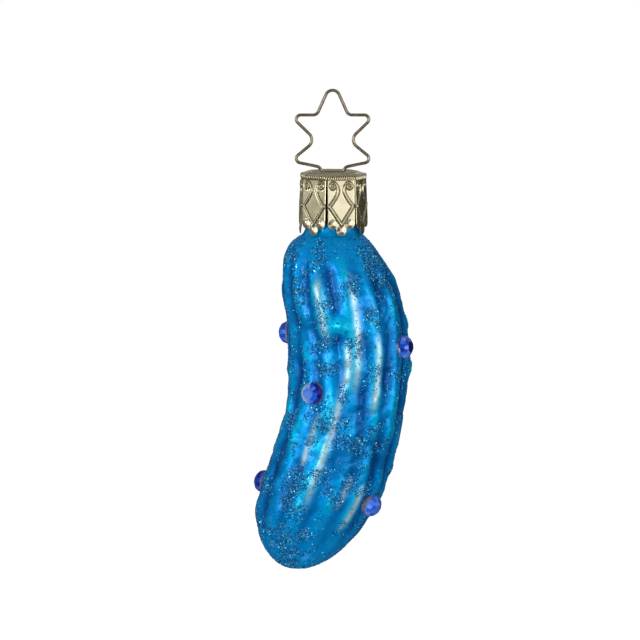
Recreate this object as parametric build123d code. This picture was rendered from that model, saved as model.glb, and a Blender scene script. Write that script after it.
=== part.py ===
from build123d import *
import math
import os

# A pickle-shaped tree ornament: a hollow, ribbed body of blown glass, a stamped crown cap
# with ornamented tabs, a wire hanger bent into a plain five-pointed star, and crystals
# glued to the glass.
#
# Millimetres, +Z up, the front faces -Y. The origin is where a hook bears, inside the top
# bend of the star. A "facing" is an angle from the front towards +X.

# Star hanger
WIRE_D = 0.65
STAR_TOP_HALF_ANGLE = 24.0
STAR_TOP_BEND = 1.5
STAR_NOTCH_HALF = 3.25
STAR_NOTCH_BEND = 1.2
STAR_ARM_HALF = 8.85
STAR_FOOT_HALF = 8.65
STAR_TIP_BEND = 0.92
STAR_WAIST_HALF = 3.45
STAR_WAIST_BEND = 1.75
STAR_ARM_DROP = 5.25
STAR_FOOT_DROP = 4.3
STAR_HEEL_DROP = 1.3
STAR_STANDOFF = 0.05

# Legs of the hanger, straight through the cap and then splayed against the bore
LEG_HALF = 2.3
LEG_BEND = 1.2
LEG_STRAIGHT = 5.0
LEG_SPLAY_DROP = 4.5
LEG_TAIL = 1.5
LEG_CLEARANCE = 0.25
LEG_HOLE_CLEARANCE = 0.15

# Crown cap
SHEET = 0.3
TAB_COUNT = 7
CAP_TURN = 15.5
CAP_CORNER = 2.0
CAP_RIM_BEND = 0.8
CAP_RIM_DEPTH = 1.0
CAP_FLARE = 0.45
NECK_CLEARANCE = 0.4
SEAT_GAP = 0.1
BRIDGE_WIDTH = 1.8
BRIDGE_RISE = 0.35
BRIDGE_GAP = 0.3

# Tabs of the cap: slits, scalloped feet, bosses and a raised lozenge with scrolls
TAB_SLIT = 0.35
TAB_DROP = 11.3
LOBE_RADIUS = 1.1
MIDDLE_LOBE_DROP = 1.35
BOSS_RADIUS = 0.95
BOSS_RISE = 0.35
RIDGE_WIDTH = 0.45
RIDGE_RISE = 0.18
LOZENGE_HALF = 2.5
LOZENGE_TOP = 2.7
LOZENGE_MIDDLE = 6.6
LOZENGE_FOOT = 10.1
LOZENGE_WAIST = 0.55
LOZENGE_BEND = 0.5
LOZENGE_SWING = 1.5
SCROLL_RADIUS = 0.95
SCROLL_INNER_RADIUS = 0.6

# Glass body
NECK_RADIUS = 5.65
GLASS_WALL = 0.8
SHOULDER_STEP = 0.2
SHOULDER_SHARPNESS = 12
UPPER_TAPER = 18.8
UPPER_HALF_WIDTH = 12.6
BODY_STRAIGHT = 34.0
LOWER_TAPER = 19.8
LOWER_HALF_WIDTH = 13.1
DEPTH_RATIO = 0.97
BOW_DROP = 8.0
BOW = 3.3
SWING = 10.4
SWING_ANGLE = 130.0

# Ribs, ridges and warts of the glass
RIB_COUNT = 14
RIB_DEPTH = 0.6
RIB_SHARPNESS = 1.5
RIB_FACING = -20.0
RIB_WANDER = 4.0
RIB_WANDER_LENGTH = 60.0
RIB_FADE = 8.0
RIB_END_FADE = 17.0
RIDGE_HALF_WIDTH = 1.15
RIDGE_END_SHARE = 0.25
# drop below the shoulder level and facing of the upper end, the same of the lower end, rise
RIDGES = [
    (-9.5, -21.0, 6.0, -20.5, 0.35),
    (-10.5, 14.0, 17.0, 7.0, 0.35),
    (2.0, 30.5, 21.0, 27.0, 0.3),
    (9.5, -2.5, 41.0, -14.0, 0.6),
    (19.0, -23.0, 32.0, -29.0, 0.35),
    (4.0, 0.0, 15.0, -1.0, 0.3),
    (32.5, 22.0, 40.0, 17.0, 0.35),
    (34.0, 37.0, 45.0, 32.0, 0.35),
    (-12.0, -5.0, 0.0, -6.0, -0.5),
]
WART_WIDTH = 1.3
# drop below the shoulder level, facing, rise
WARTS = [
    (1.8, -9.0, 0.7),
    (2.0, 88.0, 0.5),
    (11.0, 84.0, 0.4),
    (12.0, -91.0, 0.5),
    (20.0, -66.0, 0.6),
    (22.0, -18.0, 0.7),
    (26.0, -46.0, 0.4),
    (28.0, -88.0, 0.5),
    (32.7, 88.0, 0.5),
    (8.0, 150.0, 0.5),
    (15.0, -160.0, 0.5),
    (24.0, 128.0, 0.5),
    (31.0, 172.0, 0.6),
    (39.0, -158.0, 0.4),
]

# Crystals and the glue under them
CRYSTAL_RADIUS = 2.35
CRYSTAL_GIRDLE = 0.35
CRYSTAL_BREAK_RADIUS = 1.95
CRYSTAL_BREAK = 1.15
CRYSTAL_TABLE_RADIUS = 1.2
CRYSTAL_HEIGHT = 1.75
CRYSTAL_SIDES = 16
CRYSTAL_MAIN_FACETS = 8
GLUE_FILM = 0.15
GLUE_SKIRT = 0.2
GLUE_DEPTH = 1.6
# drop below the shoulder level, facing
CRYSTALS = {
    "front": (15.6, -33.0),
    "upper_right": (6.5, 63.0),
    "lower_right": (39.5, 60.0),
    "upper_left": (4.5, -105.0),
    "lower_left": (36.0, -108.0),
}

# Heights that follow from the dimensions above
top_half = math.radians(STAR_TOP_HALF_ANGLE)
APEX_Z = WIRE_D / 2 + STAR_TOP_BEND * (1 / math.sin(top_half) - 1)
ARM_Z = APEX_Z - STAR_NOTCH_HALF / math.tan(top_half)
WAIST_Z = ARM_Z - STAR_ARM_DROP
FOOT_Z = WAIST_Z - STAR_FOOT_DROP
HEEL_Z = FOOT_Z - STAR_HEEL_DROP
heel_turn = math.pi / 2 - math.atan2(STAR_HEEL_DROP, STAR_FOOT_HALF - LEG_HALF)
CAP_TOP_Z = HEEL_Z - LEG_BEND * math.tan(heel_turn / 2) - STAR_STANDOFF
NECK_TOP_Z = CAP_TOP_Z - SHEET - SEAT_GAP
TAB_FOOT_Z = CAP_TOP_Z - TAB_DROP - MIDDLE_LOBE_DROP
shoulder_share = (NECK_RADIUS + SHOULDER_STEP) / UPPER_HALF_WIDTH
SHOULDER_Z = TAB_FOOT_Z - UPPER_TAPER * math.sqrt(1 - shoulder_share**2)
LOWER_Z = SHOULDER_Z - BODY_STRAIGHT
BOTTOM_Z = LOWER_Z - LOWER_TAPER
BOW_Z = SHOULDER_Z - BOW_DROP

BORE_RADIUS = NECK_RADIUS - GLASS_WALL
SPLAY_HALF = BORE_RADIUS - LEG_CLEARANCE - WIRE_D / 2
CAP_APOTHEM = NECK_RADIUS + NECK_CLEARANCE + SHEET
TAB_LEAN = math.atan2(CAP_FLARE, TAB_DROP)
TAB_WIDTH = 2 * CAP_APOTHEM * math.tan(math.pi / TAB_COUNT) - TAB_SLIT


def smooth(share):
    """An S-shaped step from 0 to 1."""
    share = min(max(share, 0.0), 1.0)
    return share * share * (3 - 2 * share)


def star_hanger():
    """One wire: up out of the neck, once round the star, and down again."""
    tail_top = CAP_TOP_Z - LEG_STRAIGHT - LEG_SPLAY_DROP
    right = [
        (STAR_NOTCH_HALF, ARM_Z, STAR_NOTCH_BEND),
        (STAR_ARM_HALF, ARM_Z, STAR_TIP_BEND),
        (STAR_WAIST_HALF, WAIST_Z, STAR_WAIST_BEND),
        (STAR_FOOT_HALF, FOOT_Z, STAR_TIP_BEND),
        (LEG_HALF, HEEL_Z, LEG_BEND),
        (LEG_HALF, CAP_TOP_Z - LEG_STRAIGHT, LEG_BEND),
        (SPLAY_HALF, tail_top, LEG_BEND),
    ]
    left = [(-x, z, bend) for x, z, bend in reversed(right)]
    corners = left + [(0, APEX_Z, STAR_TOP_BEND)] + right
    ends = [(-SPLAY_HALF, tail_top - LEG_TAIL), (SPLAY_HALF, tail_top - LEG_TAIL)]
    points = [ends[0]] + [(x, z) for x, z, bend in corners] + [ends[1]]
    path = Plane.XZ * FilletPolyline(*points, radius=[bend for x, z, bend in corners])
    start = Plane(origin=path @ 0, z_dir=path % 0)
    return sweep(start * Circle(WIRE_D / 2), path=path)


def scroll():
    """One raised line of a tab: from the lozenge's foot to its side and up into a scroll."""
    upper = []
    for share in (1, 0.6, 0.3, 0):
        reach = LOZENGE_WAIST + (LOZENGE_HALF - LOZENGE_WAIST) * share**LOZENGE_SWING
        upper.append((reach, -LOZENGE_TOP + (LOZENGE_TOP - LOZENGE_MIDDLE) * share))
    side = FilletPolyline((0, -LOZENGE_FOOT), *upper, radius=LOZENGE_BEND)
    # Each half turn starts where the last one ends, round a centre on the same cross line.
    start = side @ 1
    inward = Vector((side % 1).Y, -(side % 1).X)
    angle = math.degrees(math.atan2(-inward.Y, -inward.X))
    outer = CenterArc(start + inward * SCROLL_RADIUS, SCROLL_RADIUS, angle, -180)
    centre = (outer @ 1) - inward * SCROLL_INNER_RADIUS
    inner = CenterArc(centre, SCROLL_INNER_RADIUS, angle + 180, -180)
    return trace([side, outer, inner], line_width=RIDGE_WIDTH)


def boss():
    """A low dome pressed out of the sheet."""
    radius = (BOSS_RADIUS**2 + BOSS_RISE**2) / (2 * BOSS_RISE)
    ball = Pos(0, 0, BOSS_RISE - radius) * Sphere(radius)
    return split(ball, bisect_by=Plane.XY.offset(-SHEET / 2), keep=Keep.TOP)


def tab():
    """One tab flat on the XY plane, its outer face up and its top edge on the X axis."""
    lobe_y = -(TAB_DROP - LOBE_RADIUS)
    lobe_x = TAB_WIDTH / 2 - LOBE_RADIUS
    middle_y = lobe_y - MIDDLE_LOBE_DROP
    plate_top = -(CAP_RIM_DEPTH - SHEET / 2)
    plate = Pos(0, (plate_top + lobe_y) / 2) * Rectangle(TAB_WIDTH, plate_top - lobe_y)
    plate += Pos(0, (lobe_y + middle_y) / 2) * Rectangle(2 * LOBE_RADIUS, lobe_y - middle_y)
    lobes = [(-lobe_x, lobe_y), (0, middle_y), (lobe_x, lobe_y)]
    for x, y in lobes:
        plate += Pos(x, y) * Circle(LOBE_RADIUS)
    solid = extrude(plate, amount=-SHEET)
    for x, y in lobes:
        solid += Pos(x, y) * boss()
    line = extrude(Pos(0, 0, -SHEET / 2) * scroll(), amount=SHEET / 2 + RIDGE_RISE)
    return solid + line + mirror(line, about=Plane.YZ)


def cap_hull(inset, bend):
    """The cap's many-sided top with rounded corners, pulled in by an inset, solid below."""
    lean = math.tan(TAB_LEAN)
    top_z = CAP_TOP_Z - inset
    foot_z = CAP_TOP_Z - CAP_RIM_DEPTH
    front_flat = -90 - 180 / TAB_COUNT
    outlines = []
    for z in (foot_z, top_z):
        apothem = CAP_APOTHEM + lean * (CAP_TOP_Z - z) - inset
        outline = RegularPolygon(apothem, TAB_COUNT, major_radius=False, rotation=front_flat)
        outlines.append(Pos(0, 0, z) * fillet(outline.vertices(), CAP_CORNER - inset))
    hull = loft(outlines, ruled=True)
    return fillet(hull.faces().sort_by(Axis.Z)[-1].edges(), bend)


def crown_cap():
    """Top with a rolled rim, a pressed bridge between the wire holes, and hanging tabs."""
    cap = cap_hull(0, CAP_RIM_BEND) - cap_hull(SHEET, CAP_RIM_BEND - SHEET)
    lean = Vector(0, -math.cos(TAB_LEAN), math.sin(TAB_LEAN))
    face = Plane(origin=(0, -CAP_APOTHEM, CAP_TOP_Z), x_dir=(1, 0, 0), z_dir=lean)
    panel = face * tab()
    cap += [Rot(0, 0, 360 / TAB_COUNT * index) * panel for index in range(TAB_COUNT)]
    cap = Rot(0, 0, CAP_TURN) * cap

    hole = WIRE_D / 2 + LEG_HOLE_CLEARANCE
    length = 2 * (LEG_HALF - hole - BRIDGE_GAP)
    rise = BRIDGE_RISE + SHEET
    bridge = Pos(0, 0, CAP_TOP_Z - SHEET + rise / 2) * Box(length, BRIDGE_WIDTH, rise)
    bridge = fillet(bridge.faces().sort_by(Axis.Z)[-1].edges(), BRIDGE_RISE / 2)
    hollow = Box(length - 2 * SHEET, BRIDGE_WIDTH - 2 * SHEET, 2 * BRIDGE_RISE)
    cap = cap + bridge - Pos(0, 0, CAP_TOP_Z - SHEET) * hollow
    for side in (-1, 1):
        cap -= Pos(side * LEG_HALF, 0, CAP_TOP_Z - SHEET / 2) * Cylinder(hole, 2 * SHEET)
    return cap


def centre_x(z):
    """The bent centre line: bowed out to the right, then swung across to the left."""
    if z > BOW_Z:
        return BOW * smooth((TAB_FOOT_Z - z) / (TAB_FOOT_Z - BOW_Z))
    swing = math.radians(SWING_ANGLE)
    share = (BOW_Z - z) / (BOW_Z - BOTTOM_Z)
    return BOW - SWING * (1 - math.cos(swing * share)) / (1 - math.cos(swing))


def half_width(z):
    """Half the width across the rib crests: a neck, a domed shoulder, a belly, a round end."""
    if z > SHOULDER_Z:
        dome = UPPER_HALF_WIDTH * math.sqrt(max(0, 1 - ((z - SHOULDER_Z) / UPPER_TAPER) ** 2))
        power = SHOULDER_SHARPNESS
        return (dome**power + NECK_RADIUS**power) ** (1 / power)
    if z > LOWER_Z:
        share = smooth((SHOULDER_Z - z) / BODY_STRAIGHT)
        return UPPER_HALF_WIDTH + (LOWER_HALF_WIDTH - UPPER_HALF_WIDTH) * share
    return LOWER_HALF_WIDTH * math.sqrt(max(0, 1 - ((LOWER_Z - z) / LOWER_TAPER) ** 2))


def bump(z, facing, bump_facing, along, width):
    """A bell-shaped rise of height 1 round a facing, with a distance along the glass."""
    apart = (facing - bump_facing + 180) % 360 - 180
    across = half_width(z) * math.radians(apart)
    return math.exp(-(across**2 + along**2) / (2 * width**2))


def relief(z, facing):
    """How far the surface lies off the rib crests: valleys, single ridges, and warts."""
    fade = smooth((TAB_FOOT_Z - z) / RIB_FADE - 0.2) * smooth((z - BOTTOM_Z) / RIB_END_FADE)
    wander = RIB_WANDER * math.sin(2 * math.pi * z / RIB_WANDER_LENGTH + 2 * math.radians(facing))
    turn = math.radians(facing - RIB_FACING + wander)
    valley = ((1 - math.cos(RIB_COUNT * turn)) / 2) ** RIB_SHARPNESS
    height = -RIB_DEPTH * fade * valley
    for top, top_facing, foot, foot_facing, rise in RIDGES:
        share = (SHOULDER_Z - z - top) / (foot - top)
        run = smooth(share / RIDGE_END_SHARE) * smooth((1 - share) / RIDGE_END_SHARE)
        path = top_facing + (foot_facing - top_facing) * share
        height += rise * run * bump(z, facing, path, 0, RIDGE_HALF_WIDTH)
    for drop, wart_facing, rise in WARTS:
        height += rise * bump(z, facing, wart_facing, z - (SHOULDER_Z - drop), WART_WIDTH)
    return height


def surface_point(z, facing, height):
    """A point of the glass, at a height over the rib crests."""
    radius = half_width(z) + height
    depth = 1 + (DEPTH_RATIO - 1) * smooth((TAB_FOOT_Z - z) / RIB_FADE)
    angle = math.radians(facing)
    return Vector(centre_x(z) + radius * math.sin(angle), -depth * radius * math.cos(angle), z)


def glass_slice(z, inset):
    """One level slice of the glass, pulled in by an inset."""
    count = 8 * RIB_COUNT
    facings = [360 * index / count for index in range(count)]
    points = [surface_point(z, facing, relief(z, facing) - inset) for facing in facings]
    shares = [index / count for index in range(count + 1)]
    return Face(Wire([Edge.make_spline(points, periodic=True, parameters=shares)]))


def glass_hull(inset, top_z):
    """The glass as a solid, pulled in by an inset, with its neck cut level at a height."""
    neck_count = 6
    neck = [top_z + (TAB_FOOT_Z - top_z) * index / neck_count for index in range(neck_count + 1)]
    dome = [SHOULDER_Z + UPPER_TAPER * math.sin(math.radians(a)) for a in range(58, 0, -10)]
    belly_count = 18
    belly = [SHOULDER_Z - BODY_STRAIGHT * index / belly_count for index in range(belly_count + 1)]
    end = (9, 18, 28, 38, 48, 57, 65, 72, 78, 83, 86.5)
    tip = [LOWER_Z - (LOWER_TAPER - inset) * math.sin(math.radians(a)) for a in end]
    slices = [glass_slice(z, inset) for z in neck + dome + belly]
    # The inner end is drawn as its own dome, so that the wall is even round the tip.
    for z, a in zip(tip, end):
        outer_z = LOWER_Z - LOWER_TAPER * math.sin(math.radians(a))
        shrink = (LOWER_HALF_WIDTH - inset) / LOWER_HALF_WIDTH * half_width(outer_z)
        slices.append(glass_slice(z, half_width(z) - shrink))
    return loft(slices)


def seat_plane(drop, facing):
    """The plane just over the rib crests on which a crystal's flat back lies."""
    z = SHOULDER_Z - drop
    step = 0.05
    along = surface_point(z + step, facing, 0) - surface_point(z - step, facing, 0)
    across = surface_point(z, facing + step, 0) - surface_point(z, facing - step, 0)
    outward = across.cross(along).normalized()
    return Plane(origin=surface_point(z, facing, 0) + outward * GLUE_FILM, z_dir=outward)


def facet_ring(gem, count, first, low, high):
    """Grinds a ring of flat facets that run from one radius and height to another."""
    slope = math.atan2(high[1] - low[1], low[0] - high[0])
    for index in range(count):
        angle = math.radians(first + 360 * index / count)
        out = Vector(math.cos(angle), math.sin(angle))
        normal = out * math.sin(slope) + Vector(0, 0, math.cos(slope))
        cut = Plane(origin=out * low[0] + Vector(0, 0, low[1]), z_dir=normal)
        gem = split(gem, bisect_by=cut, keep=Keep.BOTTOM)
    return gem


def crystal():
    """A flat-backed cut stone on the XY plane: girdle, two rings of facets and a table."""
    gem = extrude(RegularPolygon(CRYSTAL_RADIUS, CRYSTAL_SIDES), CRYSTAL_HEIGHT)
    half_step = 180 / CRYSTAL_SIDES
    flat = CRYSTAL_RADIUS * math.cos(math.radians(half_step))
    girdle = (flat, CRYSTAL_GIRDLE)
    waist = (CRYSTAL_BREAK_RADIUS, CRYSTAL_BREAK)
    table = (CRYSTAL_TABLE_RADIUS, CRYSTAL_HEIGHT)
    gem = facet_ring(gem, CRYSTAL_SIDES, half_step, girdle, waist)
    return facet_ring(gem, CRYSTAL_MAIN_FACETS, 0, waist, table)


def glue_dab(glass):
    """Glue between a crystal's back and the glass, spread a little wider on the glass."""
    foot = CRYSTAL_RADIUS + GLUE_SKIRT
    dab = Pos(0, 0, -GLUE_DEPTH / 2) * Cone(foot, CRYSTAL_RADIUS, GLUE_DEPTH)
    return dab - glass


os.makedirs("parts", exist_ok=True)
outer_glass = glass_hull(0, NECK_TOP_Z)
nodes = {
    "star_hanger": star_hanger(),
    "crown_cap": crown_cap(),
    "glass_pickle": outer_glass - glass_hull(GLASS_WALL, NECK_TOP_Z + GLASS_WALL),
}
gem = crystal()
for place, (drop, facing) in CRYSTALS.items():
    seat = seat_plane(drop, facing)
    nodes["crystal_" + place] = seat * gem
    nodes["glue_" + place] = seat * glue_dab(seat.to_local_coords(outer_glass))
for name, shape in nodes.items():
    export_step(shape, "parts/" + name + ".step")
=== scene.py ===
# %% [markdown]
# # A blown-glass pickle for the tree
#
# The ornament has a hollow glass body, a stamped gold cap, a wire hanger bent into a plain
# star, and five cut stones stuck to the glass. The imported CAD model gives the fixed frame:
# its bodies move, and every piece made here rides on one of them.

# %% Load the frame
import math

import bmesh
import bpy
import numpy as np
from mathutils import Matrix, Vector


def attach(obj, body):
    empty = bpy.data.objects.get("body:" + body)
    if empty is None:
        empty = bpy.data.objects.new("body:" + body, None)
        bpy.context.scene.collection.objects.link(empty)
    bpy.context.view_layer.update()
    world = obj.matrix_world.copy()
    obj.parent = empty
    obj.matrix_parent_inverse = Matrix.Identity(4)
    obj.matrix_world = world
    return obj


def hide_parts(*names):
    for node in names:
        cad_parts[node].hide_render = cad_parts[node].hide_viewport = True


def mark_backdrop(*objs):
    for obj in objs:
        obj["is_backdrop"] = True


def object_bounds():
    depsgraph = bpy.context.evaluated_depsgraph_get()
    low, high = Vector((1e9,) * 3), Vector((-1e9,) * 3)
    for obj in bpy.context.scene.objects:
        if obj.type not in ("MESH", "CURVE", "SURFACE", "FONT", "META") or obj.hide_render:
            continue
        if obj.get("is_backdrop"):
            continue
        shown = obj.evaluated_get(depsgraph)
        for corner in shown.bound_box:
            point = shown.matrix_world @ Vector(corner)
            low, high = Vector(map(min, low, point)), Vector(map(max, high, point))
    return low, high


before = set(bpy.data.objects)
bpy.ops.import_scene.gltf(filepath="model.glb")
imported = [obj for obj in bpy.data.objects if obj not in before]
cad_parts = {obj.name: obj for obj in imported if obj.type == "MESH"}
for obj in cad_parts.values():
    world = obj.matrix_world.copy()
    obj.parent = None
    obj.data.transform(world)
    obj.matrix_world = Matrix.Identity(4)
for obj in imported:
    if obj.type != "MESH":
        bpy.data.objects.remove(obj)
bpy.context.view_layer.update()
MM = 0.001
scene = bpy.context.scene

# %% [markdown]
# ## Helpers for node trees
#
# Most pieces here repeat something or follow a rule, so node trees grow them. A tree for a
# bent, ribbed body needs a lot of Math nodes. Placing them by hand is slow and hard to read,
# so the class below lets plain Python sums make them: adding two numbers of a tree adds a
# Math node. It works in geometry trees and in material trees alike.


# %% Nodes, and the numbers that run through a tree
def put(tree, item, socket):
    """Sets a socket, or links it where the item is a node, a socket or a number of the tree."""
    if isinstance(item, bpy.types.Node):
        item = item.outputs[0]
    item = getattr(item, "socket", item)
    if isinstance(item, bpy.types.NodeSocket):
        tree.links.new(item, socket)
    else:
        socket.default_value = item


def feed(tree, made, **items):
    """Puts items into a node's sockets by name, with _ for each space of a name."""
    for name, item in items.items():
        put(tree, item, made.inputs[name.replace("_", " ")])


def node(tree, kind, *items, **named):
    """A new node with its first inputs. Capital names are sockets, the others are settings."""
    made = tree.nodes.new(kind)
    for name in filter(str.islower, named):
        setattr(made, name, named[name])
    for place, item in enumerate(items):
        if item is not None:
            put(tree, item, made.inputs[place])
    feed(tree, made, **{name: item for name, item in named.items() if not name.islower()})
    return made


def number(tree, kind, *items, **named):
    """The number that a new node gives."""
    return Number(tree, node(tree, kind, *items, **named).outputs[0])


class Number:
    """A number that runs through a node tree, with the usual sums."""

    def __init__(self, tree, socket):
        self.tree = tree
        self.socket = socket

    def math(self, operation, *others):
        return number(self.tree, "ShaderNodeMath", self, *others, operation=operation)

    def __add__(self, other):
        return self.math("ADD", other)

    def __sub__(self, other):
        return self.math("SUBTRACT", other)

    def __rsub__(self, other):
        return self.math("MULTIPLY_ADD", -1.0, other)

    def __mul__(self, other):
        return self.math("MULTIPLY", other)

    def __truediv__(self, other):
        return self.math("DIVIDE", other)

    def __pow__(self, other):
        return self.math("POWER", other)

    __radd__ = __add__
    __rmul__ = __mul__

    def sin(self):
        return self.math("SINE")

    def cos(self):
        return self.math("COSINE")

    def root(self):
        return self.math("MAXIMUM", 0.0).math("SQRT")

    def ramp(self, low=0.0, high=1.0):
        """An S-shaped step from 0 at low to 1 at high."""
        return number(
            self.tree, "ShaderNodeMapRange", self, low, high, interpolation_type="SMOOTHSTEP"
        )

    def over(self, level, yes, no):
        """One number where this one is over a level, and another elsewhere."""
        share = self.math("GREATER_THAN", level)
        return share * yes + (1.0 - share) * no

    def bell(self, width):
        """A bell of height 1, for this number as the square of a distance."""
        return (self * (-0.5 / width**2)).math("EXPONENT")

    def away_from(self, angle):
        """How far this angle is from another, at most half a turn either way."""
        return (self - angle).math("WRAP", math.pi, -math.pi)


def noise(tree, where, scale, detail=2.0, roughness=0.5):
    """A noise from 0 to 1 at a place."""
    return number(tree, "ShaderNodeTexNoise", where, Scale=scale, Detail=detail, Roughness=roughness)


# %% Trees that grow pieces
SOCKETS = {float: "NodeSocketFloat", int: "NodeSocketInt", tuple: "NodeSocketVector"}


def geometry_tree(name, sizes):
    """A geometry tree with named inputs. Gives the tree, its geometry and its numbers."""
    tree = bpy.data.node_groups.new(name, "GeometryNodeTree")
    tree.interface.new_socket("Geometry", in_out="INPUT", socket_type="NodeSocketGeometry")
    for label, value in sizes.items():
        tree.interface.new_socket(label, in_out="INPUT", socket_type=SOCKETS[type(value)])
    tree.interface.new_socket("Geometry", in_out="OUTPUT", socket_type="NodeSocketGeometry")
    entry = tree.nodes.new("NodeGroupInput")
    numbers = {label: Number(tree, entry.outputs[label]) for label in sizes}
    return tree, entry.outputs["Geometry"], numbers


def close_tree(tree, geometry, material):
    """Ends a tree with Realize Instances and Set Material."""
    plain = node(tree, "GeometryNodeRealizeInstances", geometry)
    finish = node(tree, "GeometryNodeSetMaterial", plain, Material=material)
    node(tree, "NodeGroupOutput", finish)


def new_object(name, data):
    """A new object in the scene."""
    made = bpy.data.objects.new(name, data)
    scene.collection.objects.link(made)
    return made


def settle(piece):
    """Turns a piece's live modifiers into plain mesh."""
    depsgraph = bpy.context.evaluated_depsgraph_get()
    mesh = bpy.data.meshes.new_from_object(
        piece.evaluated_get(depsgraph), preserve_all_data_layers=True, depsgraph=depsgraph
    )
    piece.modifiers.clear()
    piece.data = mesh


def grow(name, seed_mesh, tree, sizes):
    """Runs a tree on a seed mesh and keeps the result as a plain mesh object."""
    grown = new_object(name, seed_mesh)
    modifier = grown.modifiers.new("grow", "NODES")
    modifier.node_group = tree
    for item in tree.interface.items_tree:
        if item.in_out == "INPUT" and item.name in sizes:
            modifier[item.identifier] = sizes[item.name]
    settle(grown)
    mesh = grown.data
    mesh.name = name
    print(name, "has", len(mesh.vertices), "vertices and", len(mesh.polygons), "faces")
    return grown


# %% What meshes and trees hold
def mesh_of(name, points, faces, edges=()):
    """A mesh from points in mm."""
    mesh = bpy.data.meshes.new(name)
    mesh.from_pydata([tuple(np.asarray(p, float) * MM) for p in points], edges, faces)
    return mesh


def mark(mesh, name, values, domain="POINT"):
    """Stores a number on each point or face of a mesh."""
    mesh.attributes.new(name, "FLOAT", domain).data.foreach_set("value", values)


def keep_number(tree, geometry, name, value, domain="POINT"):
    """Stores a number on a tree's geometry under a name that materials can read."""
    return node(
        tree, "GeometryNodeStoreNamedAttribute", geometry, domain=domain, Name=name, Value=value
    )


def kept_number(tree, name):
    """Reads a stored number in a geometry tree."""
    return number(tree, "GeometryNodeInputNamedAttribute", name)


def xyz(tree, *numbers):
    """A vector from three numbers."""
    return node(tree, "ShaderNodeCombineXYZ", *numbers)


def xyz_of(tree, kind):
    """The three numbers of a new node that gives a vector, such as the position."""
    parts = node(tree, "ShaderNodeSeparateXYZ", tree.nodes.new(kind))
    return [Number(tree, socket) for socket in parts.outputs]


# %% [markdown]
# ## Finishes
#
# Each finish is a material of nodes. Patterns read the piece's own coordinates or numbers
# that its tree has stored, so they stay put when the piece moves. The gold is not a clean
# mirror: stamped sheet has fine drawing marks, and a little brown tarnish stays in the
# grooves where no cloth reaches. The same brown is painted as shade under the rolled rim,
# at the top of the tabs and on their inner face, and it darkens the top plate.


# %% A material to start from
def new_material(name, **sockets):
    """A material with its Principled shader, and a few of the shader's sockets set."""
    material = bpy.data.materials.new(name)
    material.use_nodes = True
    tree = material.node_tree
    shader = tree.nodes["Principled BSDF"]
    feed(tree, shader, **sockets)
    return material, tree, shader


def object_place(tree, stretch=(1.0, 1.0, 1.0)):
    """The piece's own coordinates, stretched."""
    where = tree.nodes.new("ShaderNodeTexCoord").outputs["Object"]
    return node(tree, "ShaderNodeMapping", where, Scale=stretch)


def own_number(tree, name):
    """A number that the piece's tree has stored."""
    made = node(tree, "ShaderNodeAttribute", attribute_name=name)
    return Number(tree, made.outputs["Fac"])


def colours(tree, share, *stops):
    """A colour ramp: stops are a place from 0 to 1 and a colour."""
    made = node(tree, "ShaderNodeValToRGB", share)
    band = made.color_ramp
    while len(band.elements) < len(stops):
        band.elements.new(1.0)
    for element, (place, colour) in zip(band.elements, stops):
        element.position = place
        element.color = (*colour, 1.0)
    return made.outputs[0]


def mixed(tree, share, first, second):
    """One colour going over into another by a share from 0 to 1."""
    made = node(tree, "ShaderNodeMix", share, data_type="RGBA")
    for place, colour in ((6, first), (7, second)):
        put(tree, (*colour, 1.0) if isinstance(colour, tuple) else colour, made.inputs[place])
    return made.outputs[2]


def bump(tree, shader, height, strength, distance):
    """Fine relief from a height."""
    feed(tree, shader, Normal=node(tree, "ShaderNodeBump", strength, distance, Height=height))


# %% Gold of the wire and the cap
def gold(name, bright, dull, groove=None):
    """Polished pale gold with drawing marks and cloudy patches, and a dark brown: tarnish in any grooves,
    painted shade under the rim and inside the cap.
    """
    material, tree, shader = new_material(name, Metallic=1.0)
    cloud = noise(tree, object_place(tree), scale=420.0, detail=3.0)
    marks = noise(tree, object_place(tree, (1.0, 1.0, 0.12)), scale=9000.0)
    face = colours(tree, cloud + 0.05 * (marks - 0.5), (0.3, dull), (0.62, bright))
    if groove:
        depth = own_number(tree, "groove") * (0.75 + 0.5 * cloud)
        face = mixed(tree, depth, face, groove)
    feed(tree, shader, Base_Color=face, Roughness=0.15 + 0.1 * cloud + 0.03 * marks)
    bump(tree, shader, cloud + 0.03 * marks, strength=0.03, distance=0.0002)
    return material


# the wire's gold is painted darker than the cap's, partly as painted shade for the dark that the thin wire
# reflects
wire_gold = gold("wire_gold", (0.5, 0.42, 0.3), (0.36, 0.29, 0.2))
cap_gold = gold("cap_gold", (0.9, 0.82, 0.58), (0.8, 0.72, 0.49), (0.16, 0.13, 0.06))
print("gold finishes:", wire_gold.name, cap_gold.name)

# %% [markdown]
# ## The star hanger
#
# One length of springy wire comes up out of the neck, goes once round a star and dips back
# into the neck. A wire that follows bends is what Fillet Curve and Curve to Mesh are for:
# the seed is the row of corners, each with its own bend radius, and the tree rounds them and
# gives the line its thickness.

# %% Sizes of the wire, in mm
WIRE_D = 0.65
TOP_HALF_ANGLE = math.radians(24.0)
TOP_BEND, NOTCH_BEND, TIP_BEND, WAIST_BEND, LEG_BEND = 1.5, 1.2, 0.92, 1.75, 1.2
NOTCH_HALF, ARM_HALF, FOOT_HALF, WAIST_HALF, LEG_HALF = 3.25, 8.85, 8.65, 3.45, 2.3
ARM_DROP, FOOT_DROP, HEEL_DROP, STANDOFF = 5.25, 4.3, 1.3, 0.05
LEG_STRAIGHT, LEG_SPLAY_DROP, LEG_TAIL, SPLAY_HALF = 5.0, 4.5, 1.5, 4.275

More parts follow.
